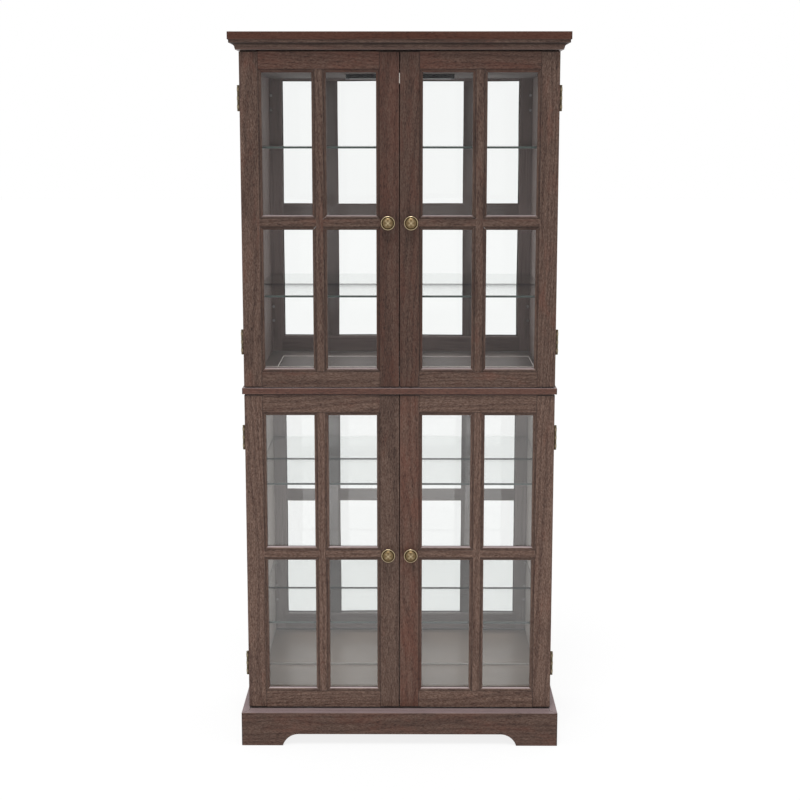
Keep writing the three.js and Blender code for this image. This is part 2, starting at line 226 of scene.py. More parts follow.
def crossbar(tree, position, box):
    """1 on the crossbar of a grille, 0 on its upright."""
    middle = (box[0] + box[1]) / 2
    from_middle = tree.split(tree.vector("SUBTRACT", position, tuple(middle)))
    x, _, z = (tree.math("ABSOLUTE", part) for part in from_middle)
    return tree.times(tree.math("LESS_THAN", z, BAR_HALF), tree.math("GREATER_THAN", x, BAR_FLAT_HALF))


class Board:
    """Dark stained oak on one board, built up in layers.

    below and above are a point's distances from the board's three low and three high faces. log is its place
    in the log, with Z along the grain, and wood is that place moved, so that no two boards look alike.
    """

    def __init__(self, name, grain, box, seed, barred):
        self.tree = tree = Tree(name)
        position = tree.coordinates()
        self.below = tree.split(tree.vector("SUBTRACT", position, tuple(box[0])))
        self.above = tree.split(tree.vector("SUBTRACT", tuple(box[1]), position))
        axis = "XYZ".index(grain)
        self.end = tree.math("MINIMUM", self.below[axis], self.above[axis])
        self.depth = tree.split(position)[1]
        self.facing_up = tree.split(tree.normal())[2]

        self.picker = picker = random.Random(seed)
        offset = [picker.uniform(-3, 3) for _ in range(3)]
        heart_x = picker.uniform(-HEART_ASIDE, HEART_ASIDE)
        heart = Vector((heart_x, picker.choice((-1, 1)) * picker.uniform(*HEART_DEPTH), 0))
        log = log_space(tree, position, grain, box, heart)
        if barred:
            across = log_space(tree, position, "X", box, heart)
            log = tree.mix_vectors(crossbar(tree, position, box), log, across)
        slow = tree.vector("ADD", tree.vector("MULTIPLY", log, GRAIN_WANDER), offset)
        stray = tree.vector("SUBTRACT", tree.noise(slow, output="Color"), (0.5, 0.5, 0.5))
        self.log = tree.vector("ADD", log, tree.vector("MULTIPLY", stray, (WANDER, WANDER, WANDER)))
        self.wood = tree.vector("ADD", self.log, offset)

    def edge_distance(self):
        """How far a point on the board's surface is from the nearest edge of the board."""
        tree = self.tree
        a, b, c = (tree.math("MINIMUM", low, high) for low, high in zip(self.below, self.above))
        larger = tree.math("MAXIMUM", a, b)
        smaller = tree.math("MINIMUM", a, b)
        return tree.math("MAXIMUM", smaller, tree.math("MINIMUM", larger, c))

    def rings(self):
        """Rings about the heart of the log. It leans against the board, so that they show as arches."""
        tree = self.tree
        x, y, z = tree.split(self.log)
        leaned = tree.math("ADD", x, tree.times(z, self.picker.uniform(-LEAN, LEAN)))
        wobble = tree.times(tree.noise(self.log, RING_WOBBLE), WOBBLE)
        radius = tree.math("ADD", tree.radius(leaned, y), wobble)
        return tree.math("SINE", tree.times(radius, math.tau / self.picker.uniform(*RING_SPACING)))

    def paint(self, factor, colour):
        """Lays a colour over the board, where factor is 1 fully and where it is 0 not at all."""
        self.colour = self.tree.mix(factor, self.colour, colour)

    def figure(self, red):
        """The figure of the grain, the dark joints at the ends and the edges where the stain wears off."""
        tree = self.tree
        rings = self.rings()
        streaks = tree.noise(self.wood, STREAKS, 3.0, 0.6)
        mottle = tree.noise(self.wood, MOTTLE, 3.0, 0.75)
        pores = tree.smooth(tree.noise(self.wood, PORES, 1.0), 0.53, 0.66)
        pores = tree.times(pores, tree.smooth(rings, -0.9, 0.6, 0.5, 1.0))
        self.patches = tree.noise(self.wood, PATCHES, 4.0, 0.65)

        self.colour = tree.mix(tree.smooth(mottle, 0.37, 0.63), OAK_MID, OAK_PALE)
        self.paint(tree.smooth(streaks, 0.42, 0.66, 0.0, 0.36), OAK_DARK)
        self.paint(tree.smooth(rings, 0.0, 0.95, 0.0, 0.32), OAK_DARK)
        least, most = max(0.0, red) * 0.45, 0.36 + red * 0.2
        self.paint(tree.smooth(self.patches, 0.48 - red * 0.3, 0.76 - red * 0.3, least, most), OAK_RED)
        self.paint(tree.times(pores, 0.62), OAK_PORE_AND_SHADE)
        self.paint(tree.smooth(self.end, 0.4 * MM, 2.2 * MM, 0.8, 0.0), OAK_PORE_AND_SHADE)

        edge = tree.smooth(self.edge_distance(), 0.6 * MM, 2.6 * MM, 1.0, 0.0)
        off_end = tree.smooth(self.end, 1.5 * MM, 4 * MM)
        self.rubbed_and_lit = tree.times(edge, tree.smooth(self.patches, 0.3, 0.7), off_end)
        self.roughness = tree.math("ADD", tree.smooth(streaks, 0.2, 0.8, 0.40, 0.50), tree.times(pores, 0.2))
        self.relief = tree.math("SUBTRACT", tree.times(mottle, 0.35), pores)

    def mould(self):
        """The moulded edge behind the front face: painted shade in its corners and a painted highlight where
        it faces up.
        """
        tree, behind = self.tree, self.below[1]
        quirk, lip = tree.band(behind, *QUIRK), tree.band(behind, *LIP)
        self.paint(tree.math("MAXIMUM", tree.times(quirk, 0.45), tree.times(lip, 0.85)), OAK_PORE_AND_SHADE)
        # A painted highlight where the bead faces up.
        dust = tree.smooth(self.facing_up, 0.3, 0.75, 0.0, 0.8)
        self.paint(tree.times(tree.band(behind, *SWELL), dust), BEAD_HIGHLIGHT)
        self.rubbed_and_lit = tree.times(self.rubbed_and_lit, 0.4)

    def hollow(self):
        """A cove gets painted shade where it faces down and a painted highlight at its foot."""
        tree = self.tree
        self.paint(tree.smooth(self.facing_up, -0.45, -0.92, 0.0, 0.8), OAK_PORE_AND_SHADE)
        foot = tree.smooth(self.below[2], 7 * MM, 3 * MM, 0.0, 0.7)
        self.rubbed_and_lit = tree.math("MAXIMUM", self.rubbed_and_lit, foot)

    def rub_and_shade(self, tone_and_shading):
        """Pale wood where the stain is rubbed off and a painted highlight at the foot of a cove, then the
        board's tone over all, which also paints light and shade on the doors and the lower sides.
        """
        tree = self.tree
        self.paint(tree.times(self.rubbed_and_lit, 0.45), OAK_RUBBED_AND_LIT)
        if tone_and_shading != 1.0:
            self.colour = tree.mix(1.0, self.colour, (tone_and_shading, tone_and_shading, tone_and_shading), blend="MULTIPLY")
        self.roughness = tree.math("SUBTRACT", self.roughness, tree.times(self.rubbed_and_lit, 0.08))

    def paint_ledge_light(self, depth, shaded):
        """A painted reflection of the studio on upward faces in front of a depth, and a painted shadow behind
        it.
        """
        tree = self.tree
        dust = tree.times(tree.smooth(self.facing_up, 0.5, 0.95, 0.0, 0.8),
                          tree.smooth(self.patches, 0.2, 0.7, 0.7, 1.0))
        self.paint(tree.times(dust, tree.smooth(self.depth, depth, depth - FADE)), LEDGE_REFLECTION)
        if shaded:
            shade = tree.smooth(self.facing_up, 0.5, 0.95, 0.0, 0.85)
            self.paint(tree.times(shade, tree.smooth(self.depth, depth - FADE, depth)), OAK_PORE_AND_SHADE)

    def line(self, faces, gloss, gap_shade_side):
        """A smooth lining on faces given as (axis, side, colour).

        The lining of a floor or ceiling starts at the front of the case.
        """
        tree = self.tree
        film = tree.smooth(tree.noise(self.wood, LINING_FILM), 0.3, 0.7)
        fibres = tree.smooth(tree.noise(self.wood, LINING_FIBRES, 3.0, 0.6), 0.44, 0.68, 0.0, 0.6)
        lined = 0.0
        for axis, side, colour in faces:
            distance = (self.below if side < 0 else self.above)[axis]
            face = tree.smooth(distance, 0.1 * MM, 0.3 * MM, 1.0, 0.0)
            if axis == 2:
                face = tree.times(face, tree.smooth(self.depth, CASE_FRONT, CASE_FRONT + FADE))
            # Along the gap between the doors the lining stops short, so that the darker oak paints shade in
            # the gap.
            if gap_shade_side:
                margin = (self.below if gap_shade_side < 0 else self.above)[0]
                face = tree.times(face, tree.smooth(margin, GAP_SHADE_MARGIN, GAP_SHADE_MARGIN + FADE))
            coat = tree.mix(film, scaled(colour, 0.96), scaled(colour, 1.06))
            self.paint(face, tree.mix(fibres, coat, scaled(colour, 0.66)))
            lined = tree.math("MAXIMUM", lined, face)
        bare = tree.inverse(lined)
        polish = tree.math("ADD", tree.times(film, 0.03), gloss - 0.015)
        self.roughness = tree.math("ADD", tree.times(self.roughness, bare), tree.times(lined, polish))
        self.relief = tree.times(self.relief, bare)

    def finish(self, specular, sheen):
        tree = self.tree
        tree.bump(self.relief, 0.2 * MM, 0.6)
        tree.set(tree.surface, Base_Color=self.colour, Roughness=self.roughness, Specular_IOR_Level=specular)
        tree.set(tree.surface, Sheen_Weight=sheen, Sheen_Roughness=0.35, Sheen_Tint=SHEEN_TINT)
        return tree.material


def oak(name, grain, box, seed, red=0.0, tone_and_shading=1.0, specular=0.2, sheen=0.2, moulded=False, barred=False,
        cove=False, lined=(), gloss=0.3, gap_shade_side=None, dusty_to=None, shaded=False):
    """The oak of one board.

    A barred board has a crossbar with grain along X. lined names the lined faces, gloss is the roughness of
    their lining, and the next argument is the X side along which the lining stops short, so that the oak
    there paints shade along the gap between the doors. The last two give the depth up to which upward faces
    get a painted reflection of the studio, and whether a painted shadow lies on them behind it.
    """
    board = Board(name, grain, box, seed, barred)
    board.figure(red)
    if moulded:
        board.mould()
    if cove:
        board.hollow()
    board.rub_and_shade(tone_and_shading)
    if dusty_to is not None:
        board.paint_ledge_light(dusty_to, shaded)
    if lined:
        board.line(lined, gloss, gap_shade_side)
    return board.finish(specular, sheen)


# ---- Other materials ----------------------------------------------------------------------


def lacquer(name, colour):
    """The smooth lining by itself, on a small strip or plate."""
    tree = Tree(name)
    film = tree.noise(tree.coordinates(), (300, 300, 60), 3.0, 0.6)
    paint = tree.mix(tree.smooth(film, 0.3, 0.7), scaled(colour, 0.92), scaled(colour, 1.06))
    tree.set(tree.surface, Base_Color=paint, Specular_IOR_Level=0.2)
    return tree.material


def hardboard(name):
    """Brown pressed board: fine speckled fibres and a faint cloudiness."""
    tree = Tree(name)
    position = tree.coordinates()
    fibres = tree.noise(position, 900, 3.0, 0.7)
    clouds = tree.noise(position, 6, 4.0)
    colour = tree.mix(tree.smooth(fibres, 0.3, 0.7), (0.085, 0.049, 0.031), (0.15, 0.093, 0.06))
    colour = tree.mix(tree.smooth(clouds, 0.3, 0.75, 0.0, 0.4), colour, (0.07, 0.04, 0.026))
    tree.bump(fibres, 0.25 * MM, 0.6)
    tree.set(tree.surface, Base_Color=colour, Roughness=tree.smooth(clouds, 0.2, 0.8, 0.6, 0.78))
    return tree.material


def raw_wood(name):
    """Unfinished softwood for blocks that nobody sees."""
    tree = Tree(name, roughness=0.75)
    streaks = tree.noise(tree.coordinates(), (25, 260, 260), 4.0)
    colour = tree.mix(tree.smooth(streaks, 0.3, 0.7), (0.36, 0.22, 0.11), (0.55, 0.38, 0.21))
    tree.bump(streaks, 0.4 * MM, 0.5)
    tree.set(tree.surface, Base_Color=colour)
    return tree.material


def clear_glass(name, tint, mirror_index, edge_tint=None):
    """Float glass as a thin clear sheet: what is behind shows through, tinted, and the surface mirrors.

    A lying sheet can have dark ground edges of edge_tint.
    """
    tree = Tree(name)
    from_inside = tree.add("NewGeometry").outputs["Backfacing"]
    index = tree.add("MapRange", from_inside, 0.0, 1.0, mirror_index, 1 / mirror_index).outputs[0]
    smudges = tree.noise(tree.coordinates(), 14, 3.0)
    mirror = tree.add("BsdfGlossy", (1, 1, 1), tree.smooth(smudges, 0.4, 0.9, 0.0, 0.012)).outputs[0]
    clear = tree.add("BsdfTransparent", tint).outputs[0]
    surface = tree.add("MixShader", tree.add("Fresnel", index).outputs[0], clear, mirror).outputs[0]
    if edge_tint:
        facing_up = tree.split(tree.normal())[2]
        on_edge = tree.smooth(tree.math("ABSOLUTE", facing_up), 0.5, 0.9, 1.0, 0.0)
        ground = tree.smooth(tree.noise(tree.coordinates(), (60, 60, 900)), 0.3, 0.7)
        body = tree.add("BsdfPrincipled")
        tree.set(body, Roughness=0.3, Base_Color=tree.mix(ground, edge_tint, scaled(edge_tint, 0.6)))
        shown = tree.times(on_edge, tree.inverse(from_inside))
        surface = tree.add("MixShader", shown, surface, body.outputs[0]).outputs[0]
    tree.put(tree.nodes["Material Output"].inputs["Surface"], surface)
    return tree.material


def silvering(name):
    """Plain mirror with the faintest cloudiness and waviness."""
    tree = Tree(name, metallic=1.0)
    clouds = tree.noise(tree.coordinates(), 5, 3.0)
    colour = tree.mix(tree.smooth(clouds, 0.3, 0.8), (0.945, 0.945, 0.945), (0.935, 0.935, 0.935))
    tree.set(tree.surface, Base_Color=colour, Roughness=tree.smooth(clouds, 0.4, 0.9, 0.0, 0.006))
    tree.bump(tree.noise(tree.coordinates(), 3.2, 1.0), 0.8 * MM)
    return tree.material


PETALS = 4  # on each knob
KNOB_BRASS = ((0.035, 0.024, 0.012), (0.146, 0.099, 0.047), (0.58, 0.47, 0.30))  # dark, middle, rubbed and painted highlight
HINGE_BRASS = ((0.050, 0.039, 0.026), (0.180, 0.142, 0.092), (0.46, 0.38, 0.26))


def antique_brass(name, worn_and_highlit, colours):
    """Brass darkened in the hollows; the second argument says where it is rubbed bright, and on the knobs
    also where a highlight is painted.
    """
    dark, middle, rubbed_and_lit = colours
    tree = Tree(name, metallic=1.0)
    position = tree.coordinates()
    grime = tree.noise(position, 520, 4.0, 0.65)
    bright = tree.times(worn_and_highlit(tree, position), tree.smooth(grime, 0.25, 0.6, 0.72, 1.0))
    dull = tree.mix(tree.smooth(grime, 0.3, 0.7), dark, middle)
    colour = tree.mix(tree.smooth(bright, 0.0, 0.45), dull, middle)
    colour = tree.mix(tree.smooth(bright, 0.4, 1.0), colour, rubbed_and_lit)
    tree.bump(grime, 0.08 * MM, 0.5)
    tree.set(tree.surface, Base_Color=colour, Roughness=tree.smooth(bright, 0.0, 1.0, 0.5, 0.28))
    return tree.material


def worn_and_highlit_knob(tree, position):
    """Bright on the rim, on the petals and at the crown, dark in the groove and between the petals, with a
    painted highlight over the middle of the dome.
    """
    x, y, z = tree.split(position)
    radius = tree.radius(x, y)
    rim = tree.times(tree.smooth(radius, 14.6 * MM, 15.3 * MM), tree.smooth(z, 16.0 * MM, 17.5 * MM))
    dome = tree.smooth(radius, 13.6 * MM, 11.8 * MM)
    dome = tree.times(dome, tree.smooth(z, 18.8 * MM, 19.8 * MM, 0.0, 0.52))
    wave = tree.math("COSINE", tree.times(tree.math("ARCTAN2", y, x), PETALS))
    petal = tree.band(radius, (2.2 * MM, 4.0 * MM), (8.0 * MM, 9.8 * MM))
    petal = tree.times(petal, tree.smooth(wave, 0.25, -0.75))
    gap = tree.times(tree.smooth(wave, 0.55, 0.95), tree.smooth(radius, 10.5 * MM, 8.5 * MM))
    crown = tree.smooth(radius, 2.6 * MM, 1.8 * MM)
    relief = tree.math("ADD", tree.times(petal, 0.12), tree.times(crown, 0.2))
    relief = tree.math("SUBTRACT", tree.math("ADD", dome, relief), tree.times(gap, 0.06))
    # A painted highlight over the middle of the dome.
    relief = tree.math("ADD", relief, tree.smooth(radius, 8.5 * MM, 1.0 * MM, 0.0, 0.14))
    return tree.math("MAXIMUM", tree.times(rim, 0.9), relief, clamp=True)


def worn_barrel(tree, position):
    """Rubbed on the belly of each knuckle."""
    x, y, _ = tree.split(position)
    return tree.smooth(tree.radius(x, y), 3.2 * MM, 4.1 * MM, 0.1, 0.7)


def steel(name, colour, roughness):
    """Bright steel with fine scratches."""
    tree = Tree(name, metallic=1.0)
    scratches = tree.noise(tree.coordinates(), (300, 300, 2500))
    tree.bump(scratches, 0.04 * MM, 0.4)
    shade = tree.mix(tree.smooth(scratches, 0.3, 0.7), colour, scaled(colour, 0.8))
    gloss = tree.smooth(scratches, 0.2, 0.8, roughness, roughness + 0.15)
    tree.set(tree.surface, Base_Color=shade, Roughness=gloss)
    return tree.material


def plastic(name, colour, roughness=0.45):
    """Moulded plastic with a fine spark-eroded texture."""
    tree = Tree(name)
    clouds = tree.noise(tree.coordinates(), 60, 3.0)
    tree.bump(tree.noise(tree.coordinates(), 1600), 0.06 * MM, 0.6)
    shade = tree.mix(tree.smooth(clouds, 0.3, 0.7), colour, scaled(colour, 0.86))
    gloss = tree.smooth(clouds, 0.2, 0.8, roughness - 0.05, roughness + 0.1)
    tree.set(tree.surface, Base_Color=shade, Roughness=gloss)
    return tree.material


def catch_plastic(name, box):
    """A dark housing with an ivory face that stops short of the ceiling."""
    tree = Tree(name, roughness=0.45)
    position = tree.coordinates()
    clouds = tree.smooth(tree.noise(position, 60, 3.0), 0.3, 0.7)
    _, y, z = tree.split(position)
    low, high = box
    face = tree.times(tree.smooth(y, low.y + 1.6 * MM, low.y + 0.8 * MM),
                      tree.smooth(z, high.z - 8 * MM, high.z - 9 * MM))
    ivory = tree.mix(clouds, (0.60, 0.56, 0.49), (0.70, 0.66, 0.58))
    housing = tree.mix(clouds, (0.026, 0.018, 0.014), (0.032, 0.022, 0.017))
    tree.bump(tree.noise(position, 1600), 0.06 * MM, 0.6)
    tree.set(tree.surface, Base_Color=tree.mix(face, housing, ivory))
    return tree.material


# ---- Mesh pieces --------------------------------------------------------------------------


def new_piece(name, shape, material, body, smooth=True, place=None):
    """A piece that rides on a body. Its shape is in millimetres of its own frame, its place in metres."""
    vertices, faces = shape
    mesh = bpy.data.meshes.new(name)
    mesh.from_pydata([Vector(v) * MM for v in vertices], [], faces)
    mesh.validate()
    mesh.materials.append(material)
    piece = bpy.data.objects.new(name, mesh)
    bpy.context.scene.collection.objects.link(piece)
    if place:
        piece.matrix_world = place
    if smooth:
        mesh.shade_smooth()
    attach(piece, body)
    return piece


def revolved(profile, segments, ripple=None):
    """(radius, height) points turned about Z. ripple(radius, angle) adds to the height."""
    vertices, rings = [], []
    for radius, height in profile:
        if radius == 0:
            rings.append([len(vertices)] * segments)
            vertices.append((0, 0, height))
            continue
        rings.append(range(len(vertices), len(vertices) + segments))
        for k in range(segments):
            angle = math.tau * k / segments
            lift = ripple(radius, angle) if ripple else 0
            vertices.append((radius * math.cos(angle), radius * math.sin(angle), height + lift))
    faces = []
    for low, high in zip(rings, rings[1:]):
        for k in range(segments):
            n = (k + 1) % segments
            faces.append(list(dict.fromkeys((low[k], low[n], high[n], high[k]))))
    return vertices, faces


def joined(meshes):
    """Several (vertices, faces) as one."""
    vertices, faces = [], []
    for more_vertices, more_faces in meshes:
        start = len(vertices)
        vertices += more_vertices
        faces += [[start + i for i in face] for face in more_faces]
    return vertices, faces


def moved(mesh, matrix):
    vertices, faces = mesh
    return [tuple(matrix @ Vector(v)) for v in vertices], faces


def slab(low, high):
    """The eight corners and six faces of a block."""
    xs, ys, zs = zip(low, high)
    vertices = [(x, y, z) for z in zs for y in ys for x in xs]
    faces = [[0, 2, 3, 1], [4, 5, 7, 6], [0, 1, 5, 4], [2, 6, 7, 3], [0, 4, 6, 2], [1, 3, 7, 5]]
    return vertices, faces


def prism(outline, axis, levels):
    """A solid with the same outline at two levels of an axis."""
    i, count = "XYZ".index(axis), len(outline)
    vertices = [(*point[:i], level, *point[i:]) for level in levels for point in outline]
    faces = [list(range(count)), list(range(2 * count - 1, count - 1, -1))]
    faces += [[k, count + k, count + (k + 1) % count, (k + 1) % count] for k in range(count)]
    return vertices, faces


def arc(cx, cy, radius, start, end, steps):
    """Points of an arc, angles in degrees, both ends included."""
    turns = [math.radians(start + (end - start) * i / steps) for i in range(steps + 1)]
    return [(cx + radius * math.cos(t), cy + radius * math.sin(t)) for t in turns]


def round_edges(piece, width, segments=2):
    """Rounds sharp edges by a width in millimetres."""
    weld = piece.modifiers.new("weld", "WELD")
    weld.merge_threshold = 0.01 * MM
    bevel = piece.modifiers.new("round edges", "BEVEL")
    bevel.width = width * MM
    bevel.segments = segments
    bevel.limit_method = "ANGLE"
    bevel.angle_limit = math.radians(35)
    bevel.harden_normals = True


def smooth_cad(node, width, segments=2):
    """Rounds a CAD node's sharp edges and shades its curved faces smooth."""
    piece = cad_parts[node]
    mesh = piece.data
    for name in ("custom_normal", "sharp_edge", "sharp_face"):
        if name in mesh.attributes:
            mesh.attributes.remove(mesh.attributes[name])
    round_edges(piece, width, segments)
    normals = piece.modifiers.new("flat faces", "WEIGHTED_NORMAL")
    normals.weight = 100


def dress(node, material):
    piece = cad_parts[node]
    piece.data.materials.clear()
    piece.data.materials.append(material)


# ---- Boards and door frames ---------------------------------------------------------------

GRAIN = {
    "plinth_front": "X", "plinth_left": "Y", "plinth_right": "Y", "base_board": "X", "middle_board": "X",
    "top_panel": "X", "cornice_board": "X", "cornice_moulding_front": "X", "cornice_moulding_left": "Y",
    "cornice_moulding_right": "Y",
    **{f"{tier}_side_{side}": "Z" for tier in TIERS for side in SIDES},
}
REDDER = {
    "cornice_board": 1.1, "middle_board": 0.8, "plinth_front": 0.15, "door_upper": 0.0, "door_lower": -0.25,
    "door_lower_right_meeting_stile": 0.3, "door_upper_left_meeting_stile": 0.35,
    "door_upper_right_meeting_stile": 0.25, "door_upper_left_top_rail": 0.35,
    "door_upper_right_top_rail": 0.3,
}
# Tones of some boards; the lower sides are lighter as painted light, as in the lower doors.
BOARD_TONES_AND_SHADING = {
    "cornice_moulding_front": 0.95, "plinth_front": 0.8, "cornice_board": 0.6, "middle_board": 0.82,
    "lower_side_left": 1.2, "lower_side_right": 1.2,
}
MEMBER_SHADING = {  # painted light and shade of a member in the lower and in the upper doors: lighter in the lower doors, darker on the upper meeting stiles and top rails
    "hinge_stile": (1.2, 1.0), "meeting_stile": (0.97, 0.70), "top_rail": (1.12, 0.86),
    "bottom_rail": (1.2, 1.0), "grille": (1.24, 0.94),
}
# The linings are lit and shaded copies of one lining, as painted light and shade: lighter in the lower tier
# and darkest on the ceilings.
SIDE_LININGS = {"lower": (0.255, 0.230, 0.208), "upper": (0.190, 0.140, 0.127)}
DOOR_BACKS = {"lower": (0.226, 0.193, 0.184), "upper": (0.240, 0.188, 0.178)}
LOWER_FLOOR = (0.156, 0.122, 0.098)
UPPER_FLOOR = (0.098, 0.078, 0.070)
CEILING = (0.050, 0.038, 0.034)
LINED = {  # faces as (axis, side, colour)
    "base_board": ((2, 1, LOWER_FLOOR),),
    "middle_board": ((2, -1, CEILING), (2, 1, UPPER_FLOOR)),
    "top_panel": ((2, -1, CEILING),),
    **{f"{tier}_side_{side}": ((0, -SIDES[side], SIDE_LININGS[tier]),) for tier in TIERS for side in SIDES},
}
LINING_GLOSS = {
    "base_board": 0.3, "middle_board": 0.35, "top_panel": 0.7,
    "lower_side_left": 0.62, "lower_side_right": 0.62, "upper_side_left": 0.72, "upper_side_right": 0.72,
}
# Depths up to which upward faces get a painted reflection of the studio; where it is the door fronts, the
# ledge behind gets a painted shadow.
LIT_TO = {
    "plinth_front": DOOR_FRONT, "base_board": DOOR_FRONT, "middle_board": CASE_FRONT,
    "plinth_left": CAD_BOX[1].y, "plinth_right": CAD_BOX[1].y,
}
FIRST_DOOR_SEED = 20


def finish_boards():
    """The boards of the case, with the linings that the glass and the mirrors show."""
    for seed, (node, grain) in enumerate(GRAIN.items()):
        look = {"red": REDDER.get(node, 0.0), "tone_and_shading": BOARD_TONES_AND_SHADING.get(node, 1.0)}
        look["cove"] = node.startswith("cornice_moulding")
        if node in LIT_TO:
            look.update(dusty_to=LIT_TO[node], shaded=LIT_TO[node] == DOOR_FRONT)
        if node in LINED:
            gloss = LINING_GLOSS[node]
            look.update(lined=LINED[node], gloss=gloss, specular=0.3 if gloss < 0.7 else 0.2)
        if node == "cornice_board":
            look.update(specular=0.1, sheen=0.05)
        smooth_cad(node, 0.9)
        dress(node, oak(f"oak_{node}", grain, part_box(node), seed, **look))


def finish_doors():
    members = [(tier, side, member) for tier, side in DOORS for member in MEMBER_SHADING]
    for seed, (tier, side, member) in enumerate(members, FIRST_DOOR_SEED):
        node = f"door_{tier}_{side}_{member}"
        grain = "X" if member.endswith("rail") else "Z"
        red = REDDER.get(node, REDDER[f"door_{tier}"])
        tone_and_shading = MEMBER_SHADING[member][TIERS.index(tier)]
        back = scaled(DOOR_BACKS[tier], 0.82 if member == "bottom_rail" else 1.0)
        # The meeting stiles keep an unlined strip along the gap as painted shade.
        gap_shade_side = -SIDES[side] if member == "meeting_stile" else None
        smooth_cad(node, 0.7)
        dress(node, oak(f"oak_{node}", grain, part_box(node), seed, red, tone_and_shading, moulded=True,
                        barred=member == "grille", lined=((1, 1, back),), gloss=0.5, gap_shade_side=gap_shade_side))


# ---- Knobs --------------------------------------------------------------------------------


def petals(radius, angle):
    """Low petals round the crown."""
    ring, half_width, height = 5.6, 4.2, 0.45
    reach = max(0.0, 1 - ((radius - ring) / half_width) ** 2)
    return -height * reach * math.cos(PETALS * angle)


def knob_profile():
    """(radius, height) of the knob from its foot to its crown."""
    foot = [(0, 0), (9, 0), (9.2, 0.6), (9, 1.6), (7.2, 2.6), (5.6, 4.6), (5.2, 7), (5.8, 9.8)]
    flare = [(8.4, 13.0), (12.4, 15.6)]
    rim = arc(15.2, 18.4, 1.5, -75, 150, 12)
    groove = arc(13.35, 19.3, 0.55, -10, -170, 5)
    dome = [(12.9 * u, 19.4 + 5.4 * v) for u, v in arc(0, 0, 1, 0, 90, 18)[:-1]]
    return [*foot, *flare, *rim, *groove, *dome, (0, 24.8)]


def knobs():
    material = antique_brass("knob brass", worn_and_highlit_knob, KNOB_BRASS)
    for tier, side in DOORS:
        door = f"door_{tier}_{side}"
        node = f"{door}_knob"
        low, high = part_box(node)
        place = Matrix.Translation(((low.x + high.x) / 2, high.y, (low.z + high.z) / 2)) @ FACING_FRONT
        mesh = revolved(knob_profile(), 64, petals)
        piece = new_piece(f"{node}_turned", mesh, material, door, place=place)
        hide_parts(node)


# ---- Hinges -------------------------------------------------------------------------------

HINGE_NODES = [(tier, side, f"hinge_{tier}_{side}_{i}") for tier, side in DOORS for i in (1, 2)]
HINGE_LENGTH = 61
BARREL_RADIUS = 4
PIN_DEPTH = -123.5  # where the pins stand along Y
KNUCKLES = 3
NOTCH = 2.2  # radius of the pin between the knuckles
BEAD = 3.5  # radius of the turned beads at a knuckle's ends
WAIST = 3.1  # radius between a knuckle's beads and its belly
BELLY = 0.9  # how far the belly swells from the waist
BELLY_FROM, BELLY_LENGTH = 3.0, 14.3
BELLY_STEPS = 10
CASE_LEAF = (1, 18)  # from and to, inwards of the pin
DOOR_LEAF = (4.6, 30)
LEAF_THICKNESS = 0.6
LEAF_SCREW_INWARD, LEAF_SCREW_UP = 24, 20  # from the middle of the pin


def barrel_profile():
    """Three bulging knuckles with a turned notch between them."""
    half = HINGE_LENGTH / 2
    points = [(0, -half), (NOTCH, -half)]
    for i in range(KNUCKLES):
        base = i * HINGE_LENGTH / KNUCKLES - half
        start = base + BELLY_FROM
        end = start + BELLY_LENGTH
        points += [(WAIST + 0.05, base + 0.5), (BEAD, base + 1.2), (BEAD, base + 2.4), (WAIST, start)]
        for step in range(1, BELLY_STEPS):
            part = step / BELLY_STEPS
            points.append((WAIST + BELLY * math.sin(math.pi * part), start + BELLY_LENGTH * part))
        points += [(WAIST, end), (BEAD, end + 0.6), (BEAD, end + 1.8), (WAIST + 0.05, end + 2.5)]
    return points + [(NOTCH, half), (0, half)]


def leaf(side, reach, front):
    """A hinge leaf between two distances inwards of the pin."""
    x0, x1 = sorted(-side * x for x in reach)
    return slab((x0, front, -HINGE_LENGTH / 2), (x1, front + LEAF_THICKNESS, HINGE_LENGTH / 2))


def screw_head(radius, height):
    """A raised countersunk head, standing on z = 0."""
    dome = [(radius * u, height * v) for u, v in arc(0, 0, 1, 0, 90, 6)[:-1]]
    return revolved([(0, -0.2), (radius, -0.2), *dome, (0, height)], 24)


def hinges():
    """Each hinge's barrel with its case leaf, and the door leaf with two screws."""
    brass = antique_brass("hinge brass", worn_barrel, HINGE_BRASS)
    painted = {tier: lacquer(f"{tier} leaf lacquer", scaled(DOOR_BACKS[tier], 0.88)) for tier in TIERS}
    bright = steel("screw steel", (0.46, 0.44, 0.42), 0.36)
    for tier, side, node in HINGE_NODES:
        low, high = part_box(node)
        sign, door = SIDES[side], f"door_{tier}_{side}"
        pin_x = (high.x if sign > 0 else low.x) - sign * BARREL_RADIUS * MM
        place = Matrix.Translation((pin_x, PIN_DEPTH * MM, (low.z + high.z) / 2))
        mesh = joined([revolved(barrel_profile(), 32), leaf(sign, CASE_LEAF, 0.1)])
        piece = new_piece(f"{node}_barrel", mesh, brass, "cabinet", place=place)
        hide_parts(node)
        new_piece(f"{node}_door_leaf", leaf(sign, DOOR_LEAF, -0.92), painted[tier], door,
                  smooth=False, place=place)
        heads = []
        for z in (-LEAF_SCREW_UP, LEAF_SCREW_UP):
            on_leaf = Matrix.Translation((-sign * LEAF_SCREW_INWARD, -0.4, z)) @ FACING_BACK
            heads.append(moved(screw_head(3.8, 0.9), on_leaf))
        new_piece(f"{node}_screws", joined(heads), bright, door, place=place)


# ---- Fittings -----------------------------------------------------------------------------

POLE_ASIDE = 12.5  # of each pair of pole pieces and its strike plate, from the middle of the gap


